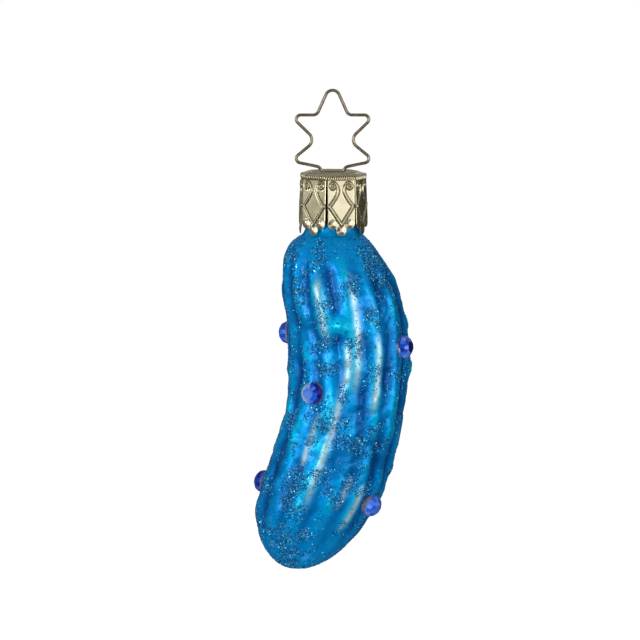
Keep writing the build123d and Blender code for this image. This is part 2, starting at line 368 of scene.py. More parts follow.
APEX_Z = WIRE_D / 2 + TOP_BEND * (1 / math.sin(TOP_HALF_ANGLE) - 1)
ARM_Z = APEX_Z - NOTCH_HALF / math.tan(TOP_HALF_ANGLE)
WAIST_Z = ARM_Z - ARM_DROP
FOOT_Z = WAIST_Z - FOOT_DROP
HEEL_Z = FOOT_Z - HEEL_DROP
heel_turn = math.pi / 2 - math.atan2(HEEL_DROP, FOOT_HALF - LEG_HALF)
CAP_TOP_Z = HEEL_Z - LEG_BEND * math.tan(heel_turn / 2) - STANDOFF
print("cap top at", round(CAP_TOP_Z, 3), "mm")

# %% Bend the wire
tail_top = CAP_TOP_Z - LEG_STRAIGHT - LEG_SPLAY_DROP
right_side = [
    (NOTCH_HALF, ARM_Z, NOTCH_BEND),
    (ARM_HALF, ARM_Z, TIP_BEND),
    (WAIST_HALF, WAIST_Z, WAIST_BEND),
    (FOOT_HALF, FOOT_Z, TIP_BEND),
    (LEG_HALF, HEEL_Z, LEG_BEND),
    (LEG_HALF, CAP_TOP_Z - LEG_STRAIGHT, LEG_BEND),
    (SPLAY_HALF, tail_top, LEG_BEND),
    (SPLAY_HALF, tail_top - LEG_TAIL, 0.0),
]
left_side = [(-x, z, bend) for x, z, bend in reversed(right_side)]
corners = left_side + [(0.0, APEX_Z, TOP_BEND)] + right_side
corner_points = [(x, 0.0, z) for x, z, bend in corners]
runs = [(place, place + 1) for place in range(len(corners) - 1)]
corner_row = mesh_of("star_corners", corner_points, [], runs)
mark(corner_row, "bend", [bend * MM for x, z, bend in corners])

wire_sizes = {"Wire diameter": WIRE_D * MM, "Steps in a bend": 14, "Sides": 18}
tree, line, size = geometry_tree("bent wire", wire_sizes)
curve = node(tree, "GeometryNodeMeshToCurve", line)
rounded = node(tree, "GeometryNodeFilletCurve", curve, mode="POLY")
feed(tree, rounded, Radius=kept_number(tree, "bend"), Count=size["Steps in a bend"])
ring = node(tree, "GeometryNodeCurvePrimitiveCircle", size["Sides"])
feed(tree, ring, Radius=size["Wire diameter"] / 2.0)
tube = node(tree, "GeometryNodeCurveToMesh", rounded, ring, Fill_Caps=True)
close_tree(tree, node(tree, "GeometryNodeSetShadeSmooth", tube), wire_gold)
star_wire = grow("star_wire", corner_row, tree, wire_sizes)

# %% [markdown]
# ## The crown cap
#
# The cap is thin sheet, stamped and folded: a seven-sided top with a rolled rim and a row of
# flutes, and seven tabs that hang over the neck. Each tab carries the same pressed ornament:
# two raised lines that make a lozenge and roll up into scrolls, and three bosses in its
# scalloped foot. Only one tab is modelled. Its relief is a height over a flat grid, which
# gives crisp ridges with soft sides, and a tree sets seven copies round the neck.

# %% Sizes of the cap, in mm
SHEET = 0.3
TABS = 7
CAP_TURN = math.radians(15.5)
CAP_CORNER, RIM_BEND, RIM_DEPTH, CAP_FLARE = 2.0, 0.8, 1.0, 0.45
NECK_RADIUS, NECK_CLEARANCE = 5.65, 0.4
CAP_APOTHEM = NECK_RADIUS + NECK_CLEARANCE + SHEET
TAB_SLIT, TAB_DROP, LOBE_RADIUS, MIDDLE_LOBE_DROP = 0.35, 11.3, 1.1, 1.35
TAB_LEAN = math.atan2(CAP_FLARE, TAB_DROP)
TAB_WIDTH = 2 * CAP_APOTHEM * math.tan(math.pi / TABS) - TAB_SLIT
BOSS_RADIUS, BOSS_RISE, BOSS_RING = 1.0, 0.17, 0.12
LOZENGE_LINE, SCROLL_LINE = 0.62, 0.4
LOZENGE_HALF, LOZENGE_NECK = 2.55, 0.62
LOZENGE_FOOT, LOZENGE_SIDE, NECK_LEVEL = -10.4, -6.6, -3.3
RIDGE_RISE, GROOVE_DEPTH, GROOVE_WIDTH = 0.24, 0.07, 0.09
SCROLL_CENTRE, SCROLL_RADIUS, SCROLL_INNER, SCROLL_TURNS = (1.72, -2.45), 0.88, 0.22, 1.4
FLUTE_FOOT, EDGE_DROP, EDGE_WIDTH = 1.35, 0.03, 0.12
# how peaked ridges and bosses are, and a boss's groove and stain as shares of a ridge's
RIDGE_POWER, BOSS_POWER, BOSS_GROOVE, BOSS_STAIN = 1.2, 1.5, 0.3, 0.35
# most painted shade under the rim, darkening of plain sheet (painted shade on the inner face of the tabs,
# and a darker top plate), and the distance over which the shade fades
MOST_STAIN, SHEET_STAIN, STAIN_FADE = 0.9, 0.6, 0.2
print("a tab is", round(TAB_WIDTH, 2), "mm wide")


# %% The raised line of a tab
SCROLL_STEPS, SWING_STEPS, CORNER_CUTS = 60, 9, 2
SIDE_IN, SIDE_DOWN, SWING_POWER = 0.1, 0.15, 1.5


def soft_line(points, rounds):
    """Cuts a line's corners again and again, which rounds them."""
    points = np.array(points, float)
    for _ in range(rounds):
        first, second = points[:-1], points[1:]
        cut = np.stack([0.75 * first + 0.25 * second, 0.25 * first + 0.75 * second], 1)
        points = np.vstack([points[:1], cut.reshape(-1, 2), points[-1:]])
    return points


steps = np.linspace(0.0, 1.0, SCROLL_STEPS)
angles = math.pi - 2 * math.pi * SCROLL_TURNS * steps
radii = SCROLL_RADIUS + (SCROLL_INNER - SCROLL_RADIUS) * steps
scroll = np.array(SCROLL_CENTRE) + (radii * np.array([np.cos(angles), np.sin(angles)])).T
side_run = [(0.0, LOZENGE_FOOT), (LOZENGE_HALF - SIDE_IN, LOZENGE_SIDE - SIDE_DOWN)]
for swing in np.linspace(1.0, 0.0, SWING_STEPS):
    half = LOZENGE_NECK + (LOZENGE_HALF - LOZENGE_NECK) * swing**SWING_POWER
    side_run.append((half, NECK_LEVEL + (LOZENGE_SIDE - NECK_LEVEL) * swing))
side_line = soft_line(side_run + [tuple(scroll[0])], CORNER_CUTS)
print("raised line has", len(side_line) + len(scroll), "points")

# %% The relief of a tab
COLUMNS, ROWS = 88, 140
lobe_x = TAB_WIDTH / 2 - LOBE_RADIUS
lobe_y = -(TAB_DROP - LOBE_RADIUS)
bosses = [(-lobe_x, lobe_y), (0.0, lobe_y - MIDDLE_LOBE_DROP), (lobe_x, lobe_y)]


def tab_foot(x):
    """How deep the scalloped foot reaches at a place across the tab."""
    depth = np.full_like(x, -lobe_y)
    for cx, cy in bosses:
        dome = np.sqrt(np.clip(LOBE_RADIUS**2 - (x - cx) ** 2, 0, None))
        depth = np.maximum(depth, np.where(np.abs(x - cx) < LOBE_RADIUS, -cy + dome, 0))
    return depth


def distance_to(line, x, y):
    """How far each place is from a line through points."""
    nearest = np.full(x.shape, 1e9)
    for (ax, ay), (bx, by) in zip(line[:-1], line[1:]):
        run, rise = bx - ax, by - ay
        along = ((x - ax) * run + (y - ay) * rise) / (run * run + rise * rise + 1e-12)
        along = np.clip(along, 0, 1)
        nearest = np.minimum(nearest, np.hypot(x - ax - along * run, y - ay - along * rise))
    return nearest


def tab_relief(x, y, foot):
    """Height of the pressed ornament, and how deep in a groove each place lies, with painted shade at the
    top under the rim.
    """
    ridge, groove = np.zeros_like(x), np.zeros_like(x)
    for line, width in ((side_line, LOZENGE_LINE), (scroll, SCROLL_LINE)):
        off = distance_to(line, np.abs(x), y)
        ridge = np.maximum(ridge, np.cos(np.pi * np.clip(off / width, 0, 0.5)) ** RIDGE_POWER)
        beside = np.exp(-(((off - width / 2 - GROOVE_WIDTH / 2) / GROOVE_WIDTH) ** 2))
        groove = np.maximum(groove, beside)
    groove *= 1 - ridge
    height = RIDGE_RISE * ridge - GROOVE_DEPTH * groove
    for cx, cy in bosses:
        from_boss = np.hypot(x - cx, y - cy)
        dome = np.cos(np.pi / 2 * np.clip(from_boss / BOSS_RADIUS, 0, 1)) ** BOSS_POWER
        ring = np.exp(-(((from_boss - BOSS_RADIUS) / BOSS_RING) ** 2))
        height += BOSS_RISE * dome - BOSS_GROOVE * GROOVE_DEPTH * ring
        groove = np.maximum(groove, BOSS_STAIN * ring)
    edge = np.minimum(TAB_WIDTH / 2 - np.abs(x), foot + y)
    height -= EDGE_DROP * np.clip(1 - edge / EDGE_WIDTH, 0, 1) ** 2
    # painted shade: the top of each tab grows darker under the flutes of the rim
    groove = np.maximum(groove, np.clip((y + FLUTE_FOOT) / STAIN_FADE, 0, MOST_STAIN))
    return height, groove


print("a tab has", len(bosses), "bosses and a foot", round(max(tab_foot(np.zeros(1))), 2), "mm down")


# %% One tab as a bent sheet
across = np.linspace(-TAB_WIDTH / 2, TAB_WIDTH / 2, COLUMNS + 1)
down = np.linspace(0, 1, ROWS + 1)
tab_top = RIM_DEPTH - SHEET / 2
x, t = np.meshgrid(across, down)
foot = tab_foot(x)
y = -(tab_top + (foot - tab_top) * t)
height, groove = tab_relief(x, y, foot)
lean = np.array([0.0, -math.cos(TAB_LEAN), math.sin(TAB_LEAN)])
fall = np.array([0.0, -math.sin(TAB_LEAN), -math.cos(TAB_LEAN)])
start = np.array([0.0, -CAP_APOTHEM, CAP_TOP_Z])
plain = (start + x[..., None] * [1, 0, 0] - y[..., None] * fall).reshape(-1, 3)
stamped = plain + height.reshape(-1, 1) * lean
index = np.arange(len(plain)).reshape(ROWS + 1, COLUMNS + 1)


def sheet_faces(front):
    """A stamped front of small faces, closed edges, and a plain back of a few faces."""
    a, b, c, d = front[:-1, :-1], front[:-1, 1:], front[1:, 1:], front[1:, :-1]
    faces = list(zip(a.ravel(), d.ravel(), c.ravel(), b.ravel()))
    back = front + front.size
    rim = np.concatenate([front[0, :], front[1:, -1], front[-1, -2::-1], front[-2:0:-1, 0]])
    for first, second in zip(rim, np.roll(rim, -1)):
        faces.append((first, second, second + front.size, first + front.size))
    faces.append((*back[0, :], back[1, -1], back[1, 0]))
    for row in range(1, ROWS - 1):
        faces.append((back[row, 0], back[row, -1], back[row + 1, -1], back[row + 1, 0]))
    faces.append((back[-2, 0], back[-2, -1], *back[-1, ::-1]))
    return [tuple(int(v) for v in face) for face in faces]


tab_mesh = mesh_of("tab", np.vstack([stamped, plain - SHEET * lean]), sheet_faces(index))
# the inner face of the tab is darkened: painted shade inside the cap
mark(tab_mesh, "groove", np.concatenate([groove.ravel(), np.full(index.size, SHEET_STAIN)]))
tab_mesh.shade_smooth()
tab_mesh.set_sharp_from_angle(angle=math.radians(60))
loose = bmesh.new()
loose.from_mesh(tab_mesh)
bmesh.ops.delete(loose, geom=[v for v in loose.verts if not v.link_faces], context="VERTS")
loose.to_mesh(tab_mesh)
loose.free()
print("one tab has", len(tab_mesh.polygons), "faces")

# %% Seven tabs round the neck
ring_sizes = {"Copies": TABS, "Turn": CAP_TURN}
tree, sheet, size = geometry_tree("tabs in a ring", ring_sizes)
points = node(tree, "GeometryNodePoints", size["Copies"])
turn = number(tree, "GeometryNodeInputIndex") * (2 * math.pi) / size["Copies"] + size["Turn"]
copies = node(tree, "GeometryNodeInstanceOnPoints", points, None, sheet)
feed(tree, copies, Rotation=xyz(tree, 0.0, 0.0, turn))
close_tree(tree, copies, cap_gold)
cap_tabs = grow("cap_tabs", tab_mesh, tree, ring_sizes)

# %% [markdown]
# The top of the cap is one sheet too, so it is drawn as rings of a rounded seven-sided
# outline: up the band, over the bend, across the rolled rim and in to the middle, where the
# outline has become a circle. The bridge between the two wire holes is a height on the same
# rings. The holes are then cut through the finished sheet.

# %% The outline of the cap's top
SIDE_STEPS, CORNER_STEPS, BEND_STEPS, ROLL_STEPS, TOP_STEPS = 14, 10, 9, 15, 34
ROLL_WIDTH, ROLL_RISE = 1.2, 0.3
BAND_DEPTHS = (1.25, 1.1, 0.95)
TOP_START, TOP_STOP = RIM_BEND + ROLL_WIDTH + 0.15, 6.2


def outward(facing):
    """The level direction of a facing, as (x, y)."""
    return np.array([math.sin(facing), -math.cos(facing)])


def rounded_outline(apothem, corner, circle=0.0):
    """A seven-sided outline with rounded corners, as (x, y). Its share of a circle is 0 to 1."""
    reach = (apothem - corner) / math.cos(math.pi / TABS)
    points = []
    for tab in range(TABS):
        facing = CAP_TURN + 2 * math.pi * tab / TABS
        first = outward(facing - math.pi / TABS) * reach
        second = outward(facing + math.pi / TABS) * reach
        for share in np.linspace(0, 1, SIDE_STEPS, endpoint=False):
            points.append(first + (second - first) * share + outward(facing) * corner)
        for share in np.linspace(0, 1, CORNER_STEPS, endpoint=False):
            points.append(second + outward(facing + 2 * math.pi / TABS * share) * corner)
    points = np.array(points)
    reach = np.hypot(*points.T)[:, None]
    return points * (1 + circle * (apothem / reach - 1))


def rim_profile():
    """(pull-in, height) from the foot of the band over the rim to the middle."""
    band = [(-math.tan(TAB_LEAN) * depth, -depth) for depth in BAND_DEPTHS]
    for share in np.linspace(0, 1, BEND_STEPS):
        turn = share * math.pi / 2
        band.append((RIM_BEND * (1 - math.cos(turn)), -RIM_BEND * (1 - math.sin(turn))))
    for share in np.linspace(0, 1, ROLL_STEPS)[1:]:
        pull = RIM_BEND + ROLL_WIDTH * share
        band.append((pull, ROLL_RISE * math.sin(math.pi * share) ** 2))
    return band + [(pull, 0.0) for pull in np.linspace(TOP_START, TOP_STOP, TOP_STEPS)]


print("cap top has", len(rim_profile()), "rings")

# %% The top of the cap
BRIDGE_HALF, BRIDGE_RISE, BRIDGE_SLOPE = (1.7, 0.9), 0.4, 0.3
ROUNDING, MOST_CORNER = 2.5, 0.6
SEAM_WIDTH, UNDER_RIM = 0.1, 0.25


def ring_faces(rings, around):
    """Faces that join each ring of points to the next."""
    faces = []
    for ring in range(rings - 1):
        low, high = ring * around, (ring + 1) * around
        for place in range(around):
            following = (place + 1) % around
            faces.append((low + place, low + following, high + following, high + place))
    return faces


rings, dirt = [], []
for pull, rise in rim_profile():
    apothem = CAP_APOTHEM - pull
    corner = min(CAP_CORNER - min(pull, RIM_BEND), MOST_CORNER * apothem)
    outline = rounded_outline(apothem, corner, min(max((pull - RIM_BEND) / ROUNDING, 0.0), 1.0))
    on_top = pull > RIM_BEND + ROLL_WIDTH
    from_bridge = (np.abs(outline) - BRIDGE_HALF).max(axis=1)
    lift = BRIDGE_RISE * np.clip(0.5 - from_bridge / BRIDGE_SLOPE, 0, 1)
    rings.append(np.column_stack([outline, CAP_TOP_Z + rise + np.where(on_top, lift, 0)]))
    # a dark line along the foot of the rolled rim, and the top plate darkened like the plain sheet
    seam = math.exp(-(((pull - RIM_BEND) / SEAM_WIDTH) ** 2))
    dirt += [SHEET_STAIN * max(seam, float(on_top))] * len(outline)
around = len(rings[0])
outer_skin = np.vstack(rings + [[[0.0, 0.0, CAP_TOP_Z + BRIDGE_RISE]]])
faces = ring_faces(len(rings), around)
last, middle = (len(rings) - 1) * around, len(rings) * around
faces += [(last + place, last + (place + 1) % around, middle) for place in range(around)]
cap_mesh = mesh_of("cap_top", outer_skin, faces)
# painted shade: the band under the rolled rim grows darker downwards
under_rim = np.clip((CAP_TOP_Z - outer_skin[:, 2] - UNDER_RIM) / STAIN_FADE, 0, MOST_STAIN)
mark(cap_mesh, "groove", np.maximum(under_rim, dirt + [0.0]))
cap_top = new_object("cap_top", cap_mesh)
print("cap top has", len(faces), "faces in its outer skin")

# %% Thickness and wire holes
HOLE_RADIUS, HOLE_SIDES, DRILL_LENGTH = WIRE_D / 2 + 0.15, 32, 4.0


def rod(made, sides, radius, length):
    """Adds an upright rod, sized in mm, to a mesh that is being built."""
    ends = {"radius1": radius * MM, "radius2": radius * MM}
    return bmesh.ops.create_cone(made, cap_ends=True, segments=sides, depth=length * MM, **ends)


thick = cap_top.modifiers.new("sheet", "SOLIDIFY")
thick.thickness = SHEET * MM
thick.offset = -1.0
drill = bpy.data.meshes.new("wire_holes")
cutter = bmesh.new()
for side in (-1, 1):
    made = rod(cutter, HOLE_SIDES, HOLE_RADIUS, DRILL_LENGTH)
    bmesh.ops.translate(cutter, verts=made["verts"], vec=(side * LEG_HALF * MM, 0, CAP_TOP_Z * MM))
cutter.to_mesh(drill)
cutter.free()
drill_object = new_object("wire_holes", drill)
holes = cap_top.modifiers.new("holes", "BOOLEAN")
holes.object = drill_object
holes.operation = "DIFFERENCE"
settle(cap_top)
bpy.data.objects.remove(drill_object)
cap_top.data.materials.clear()
cap_top.data.materials.append(cap_gold)
cap_top.data.set_sharp_from_angle(angle=math.radians(50))
print("cap top has", len(cap_top.data.polygons), "faces with its holes")

# %% [markdown]
# The row of flutes under the rim repeats about ninety times on a curved path. A tree reads
# the rim's outline as a curve, spaces points on it and sets one small flute on each, turned
# to follow the rim.

# %% Flutes under the rim
FLUTE_DEPTH = 0.78
BALL_SEGMENTS, BALL_RINGS = 10, 8
outline = rounded_outline(CAP_APOTHEM + math.tan(TAB_LEAN) * FLUTE_DEPTH, CAP_CORNER)
rim_points = [(px, py, CAP_TOP_Z - FLUTE_DEPTH) for px, py in outline]
rim_edges = [(place, (place + 1) % len(rim_points)) for place in range(len(rim_points))]
rim_line = mesh_of("rim_line", rim_points, [], rim_edges)
flute_sizes = {
    "Count": 91,
    "Width": 0.14 * MM,
    "Height": 0.62 * MM,
    "Rise": 0.24 * MM,
    "Slant": math.radians(16.0),
}
tree, line, size = geometry_tree("flutes on a rim", flute_sizes)
curve = node(tree, "GeometryNodeMeshToCurve", line)
spots = node(tree, "GeometryNodeCurveToPoints", curve, size["Count"])
ball = node(tree, "GeometryNodeMeshUVSphere", BALL_SEGMENTS, BALL_RINGS, 1.0)
soft = node(tree, "GeometryNodeSetShadeSmooth", ball)
squeeze = xyz(tree, size["Width"], size["Rise"], size["Height"])
flute = node(tree, "GeometryNodeTransform", soft, Scale=squeeze)
tip = xyz(tree, 0.0, size["Slant"], 0.0)
slanted = node(tree, "GeometryNodeTransform", flute, Rotation=tip)
follow = node(tree, "FunctionNodeAlignRotationToVector", axis="X", pivot_axis="Z")
feed(tree, follow, Vector=spots.outputs["Tangent"])
copies = node(tree, "GeometryNodeInstanceOnPoints", spots, None, slanted, Rotation=follow)
close_tree(tree, copies, cap_gold)
cap_flutes = grow("cap_flutes", rim_line, tree, flute_sizes)

# %% [markdown]
# ## The glass body
#
# The pickle was blown into a mould: a neck, a domed shoulder, a bent belly with ribs that
# wander a little, ridges and warts, and a few broad swells where the hot glass gave way. All of
# that follows a rule, so a tree shapes it. The seed is a closed skin in plain coordinates: each
# point only knows its facing (the angle from the front), how far it lies inside the outer skin,
# and its height. The tree turns these three numbers into a place. It also stores what the
# finish and the glitter read, such as the height of the relief and the facing.

# %% Sizes of the glass, in mm and degrees
GLASS_WALL, SEAT_GAP = 0.8, 0.1
SHOULDER_STEP, SHOULDER_SHARPNESS = 0.2, 12
UPPER_TAPER, UPPER_HALF_WIDTH = 18.8, 12.6
BODY_STRAIGHT, LOWER_TAPER, LOWER_HALF_WIDTH = 34.0, 19.8, 13.1
DEPTH_RATIO = 0.97
BOW_DROP, BOW, SWING, SWING_ANGLE = 8.0, 3.3, 10.4, math.radians(130.0)
RIBS, RIB_DEPTH, RIB_FACING = 14, 0.6, math.radians(-20.0)
RIB_WANDER, RIB_WANDER_LENGTH, RIB_FADE, RIB_END_FADE = math.radians(4.0), 60.0, 8.0, 17.0
WART_WIDTH = 1.3
# drop below the shoulder, facing, rise
WARTS = [
    (1.7, -11.0, 0.5), (1.7, -5.0, 0.5), (4.0, -7.0, -0.5),
    (2.0, 88.0, 0.5), (11.0, 84.0, 0.4), (12.0, -91.0, 0.5),
    (20.0, -66.0, 0.6), (22.0, -18.0, 0.7), (23.6, -13.0, -0.4), (26.0, -46.0, 0.4),
    (28.0, -88.0, 0.5), (32.7, 88.0, 0.5), (8.0, 150.0, 0.5),
    (15.0, -160.0, 0.5), (24.0, 128.0, 0.5), (31.0, 172.0, 0.6), (39.0, -158.0, 0.4),
]

# drop and facing of one end, drop and facing of the other end, rise (a valley where negative)
RIDGES = [
    (-9.5, -21.0, 6.0, -20.5, 0.45), (-10.5, 14.0, 17.0, 7.0, 0.45), (2.0, 30.5, 21.0, 27.0, 0.4),
    (9.5, -2.5, 41.0, -14.0, 0.7), (19.0, -23.0, 32.0, -29.0, 0.45), (4.0, 0.0, 15.0, -1.0, 0.4),
    (32.5, 22.0, 40.0, 17.0, 0.4), (34.0, 37.0, 45.0, 32.0, 0.4), (-12.0, -5.0, 0.0, -6.0, -0.5),
]
# drop below the shoulder, facing, rise, half size of broad swells and hollows
SWELLS = [
    (-14.5, -82.0, 0.9, 3.8), (0.0, -88.0, -0.4, 3.0), (19.5, -90.0, -1.1, 4.4),
    (27.0, -90.0, -0.4, 3.0), (41.0, -88.0, 0.6, 3.2),
]
# drop below the shoulder and facing of the stones
STONES = {
    "front": (15.6, -33.0),
    "upper_right": (6.5, 63.0),
    "lower_right": (39.5, 60.0),
    "upper_left": (4.5, -105.0),
    "lower_left": (36.0, -108.0),
}
# ridge and its crest with a painted highlight across, share that fades at each end, least rise of a ridge
# with a highlight
RIDGE_HALF_WIDTH, CREST_HALF_WIDTH, RIDGE_END, CREST_LEAST = 1.15, 0.45, 0.25, 0.4
# fine ribs on the right: count all round, depth, sines of the facing where they start and are full
FINE_RIBS, FINE_RIB_DEPTH, FINE_RIB_SIDE = 34.0, 0.14, (0.5, 0.8)
# broad waves, small dents, calm glass round a stone, fade of the swells under the cap
WOBBLE, DENTS, CALM_SIZE, SWELL_FADE = 1.4, 0.3, 2.5, 2.0
# the noises lie on a plain cylinder, and their scales count to the metre
NOISE_RADIUS, WOBBLE_SCALE, DENT_SCALE, BREAK_SCALE = 12.6, 190.0, 360.0, 110.0
RIB_START, VALLEY_POWER, LEAST_VALLEY = 0.2, 1.5, 0.45
# the neck is painted near black as shade inside the cap, from this far over the foot of the tabs
BARE_FROM, BARE_FADE = 1.2, 1.0

NECK_TOP_Z = CAP_TOP_Z - SHEET - SEAT_GAP
TAB_FOOT_Z = CAP_TOP_Z - TAB_DROP - MIDDLE_LOBE_DROP
shoulder_share = (NECK_RADIUS + SHOULDER_STEP) / UPPER_HALF_WIDTH
SHOULDER_Z = TAB_FOOT_Z - UPPER_TAPER * math.sqrt(1 - shoulder_share**2)
LOWER_Z = SHOULDER_Z - BODY_STRAIGHT
BOTTOM_Z = LOWER_Z - LOWER_TAPER
BOW_Z = SHOULDER_Z - BOW_DROP
print("glass runs from", round(NECK_TOP_Z, 2), "to", round(BOTTOM_Z, 2), "mm")


# %% The closed seed skin
AROUND, TIP_ANGLE = 288, 88.5
# rows of the end, the belly, the dome and the neck
OUTER_ROWS, INNER_ROWS = (52, 118, 62, 16), (12, 16, 10, 6)


def heights(inset, counts):
    """Height and inset of the skin's rows, from just over the tip to the neck's top."""
    end_rows, belly_rows, dome_rows, neck_rows = counts
    turn = np.radians(np.linspace(TIP_ANGLE, 0, end_rows, endpoint=False))
    end = LOWER_Z - (LOWER_TAPER - inset) * np.sin(turn)
    belly = np.linspace(LOWER_Z, SHOULDER_Z, belly_rows, endpoint=False)
    dome = np.linspace(SHOULDER_Z, TAB_FOOT_Z, dome_rows, endpoint=False)
    neck = np.linspace(TAB_FOOT_Z, NECK_TOP_Z, neck_rows)
    return [(z, inset) for z in np.concatenate([end, belly, dome, neck])]


rows = heights(0.0, OUTER_ROWS) + heights(GLASS_WALL, INNER_ROWS)[::-1]
facings = 2 * math.pi * np.arange(AROUND) / AROUND
points = [(facing / MM, inset, z) for z, inset in rows for facing in facings]
points += [(0.0, 0.0, BOTTOM_Z), (0.0, GLASS_WALL, BOTTOM_Z + GLASS_WALL)]
outer_tip, inner_tip = len(points) - 2, len(points) - 1
faces = ring_faces(len(rows), AROUND)
last = (len(rows) - 1) * AROUND
for place in range(AROUND):
    following = (place + 1) % AROUND
    faces += [(outer_tip, following, place), (inner_tip, last + place, last + following)]
skin = mesh_of("glass_skin", points, faces)
print("seed skin has", len(rows), "rows of", AROUND, "points")

# %% [markdown]
# The glass is silvered inside and lacquered blue outside, so it shines like metal through a
# coloured film. Clear glass with a mirror behind it could do that, but such paths of light are
# slow and noisy. A half-metallic blue under a clear coat looks the same from outside. It is
# painted deeper in the valleys between the ribs, partly as pooled lacquer and partly as painted
# shade, and pale on the crests of the ridges, a painted highlight where the lacquer is also worn
# thin. The neck under the cap is painted near black, as painted shade inside the cap.

# %% The lacquer
# painted near-black shade for the neck under the cap, and a painted highlight for the ridge crests
BARE_GLASS, WORN_CREST = (0.02, 0.025, 0.03), (0.6, 0.86, 0.92)


def lacquer():
    """Silvered glass under blue lacquer: paler on the ridges and deeper in the valleys, partly worn and
    pooled lacquer and partly painted highlight and shade.
    """
    material, tree, shader = new_material(
        "blue_lacquer", Metallic=0.5, Specular_IOR_Level=0.0, Coat_Weight=0.28, Coat_Roughness=0.025
    )
    feed(tree, shader, Specular_Tint=(0.0, 0.12, 0.4, 1.0))
    cloud = noise(tree, object_place(tree), scale=110.0, detail=3.0)
    grain = noise(tree, object_place(tree), scale=2600.0)
    streak = noise(tree, object_place(tree, (1.0, 1.0, 0.2)), scale=700.0)
    # deeper blue where the relief is low: pooled lacquer in the valleys, and painted shade
    paint = colours(
        tree,
        own_number(tree, "rib") + 0.75 + 0.3 * (cloud - 0.5) + 0.15 * (streak - 0.5),
        (0.0, (0.0, 0.1, 0.38)),
        (0.4, (0.0, 0.22, 0.64)),
        (0.75, (0.0, 0.4, 0.98)),
        (1.0, (0.0, 0.6, 1.0)),
    )
    # painted highlight along the ridge crests, where the lacquer is also worn thin
    paint = mixed(tree, own_number(tree, "crest") * (0.1 + 1.5 * streak), paint, WORN_CREST)
    # painted shade: the neck under the cap is near black
    paint = mixed(tree, own_number(tree, "bare"), paint, BARE_GLASS)
    feed(tree, shader, Base_Color=paint, Roughness=0.27 + 0.1 * cloud + 0.06 * grain)
    bump(tree, shader, grain + 2.0 * streak, strength=0.06, distance=0.0002)
    return material


blue_lacquer = lacquer()
print("finish of the glass:", blue_lacquer.name)

# %% Shape the glass
glass_sizes = {
    "Neck radius": NECK_RADIUS * MM,
    "Upper half width": UPPER_HALF_WIDTH * MM,
    "Lower half width": LOWER_HALF_WIDTH * MM,
    "Upper taper": UPPER_TAPER * MM,
    "Lower taper": LOWER_TAPER * MM,
    "Tab foot": TAB_FOOT_Z * MM,
    "Shoulder": SHOULDER_Z * MM,
    "Bow level": BOW_Z * MM,
    "Lower level": LOWER_Z * MM,
    "Bottom": BOTTOM_Z * MM,
    "Bow": BOW * MM,
    "Swing": SWING * MM,
    "Rib depth": RIB_DEPTH * MM,
    "Ribs": RIBS,
    "Wobble": WOBBLE * MM,
    "Dents": DENTS * MM,
    "Fine ribs": FINE_RIB_DEPTH * MM,
}
tree, geometry, size = geometry_tree("pickle body", glass_sizes)
facing, inset, z = xyz_of(tree, "GeometryNodeInputPosition")
below = size["Shoulder"] - z
foot_drop = size["Tab foot"] - z

dome = size["Upper half width"] * (1.0 - (below / size["Upper taper"]) ** 2.0).root()
sharp = float(SHOULDER_SHARPNESS)
upper = ((dome / size["Neck radius"]) ** sharp + 1.0) ** (1.0 / sharp) * size["Neck radius"] - inset
widening = (below / (BODY_STRAIGHT * MM)).ramp()
belly = size["Upper half width"] + (size["Lower half width"] - size["Upper half width"]) * widening - inset
under = (size["Lower level"] - z) / (size["Lower taper"] - inset)
end = (size["Lower half width"] - inset) * (1.0 - under**2.0).root()
half = z.over(size["Shoulder"], upper, z.over(size["Lower level"], belly, end))

bowed = size["Bow"] * (foot_drop / (size["Tab foot"] - size["Bow level"])).ramp()
share = (size["Bow level"] - z) / (size["Bow level"] - size["Bottom"])
swung = size["Bow"] - size["Swing"] * (1.0 - (share * SWING_ANGLE).cos()) / (1 - math.cos(SWING_ANGLE))
centre = z.over(size["Bow level"], bowed, swung)
print("the body's form takes", len(tree.nodes), "nodes")


# %% Ribs, warts and the unevenness of blown glass
def round_spot(facing, below, radius, drop, angle, reach):
    """A bell on the glass, with a drop in mm, an angle in degrees and a half size in mm."""
    aside = facing.away_from(math.radians(angle)) * radius
    return (aside**2.0 + (below - drop * MM) ** 2.0).bell(reach * MM)


spot = xyz(tree, facing.sin() * (NOISE_RADIUS * MM), facing.cos() * (NOISE_RADIUS * MM), z)
uneven = noise(tree, spot, WOBBLE_SCALE) - 0.5
dents = noise(tree, spot, DENT_SCALE, detail=1.0) - 0.5
broken = noise(tree, spot, BREAK_SCALE, detail=1.0)
calm = 1.0 + 0.0 * z
for drop, angle in STONES.values():
    calm = calm * (1.0 - round_spot(facing, below, half, drop, angle, CALM_SIZE))
fade = (foot_drop / (RIB_FADE * MM) - RIB_START).ramp()
fade = fade * ((z - size["Bottom"]) / (RIB_END_FADE * MM)).ramp()
wander = RIB_WANDER * (z * (2 * math.pi / (RIB_WANDER_LENGTH * MM)) + facing * 2.0).sin()
turn = facing - RIB_FACING + wander
valley = ((1.0 - (turn * size["Ribs"]).cos()) / 2.0) ** VALLEY_POWER
relief = size["Rib depth"] * fade * valley * (-LEAST_VALLEY - broken)
relief = relief + (size["Wobble"] * uneven + size["Dents"] * dents) * fade * calm
fine = facing.sin().ramp(*FINE_RIB_SIDE) * fade
relief = relief - size["Fine ribs"] * fine * broken * (1.0 - (turn * FINE_RIBS).cos())
crest = 0.0 * z
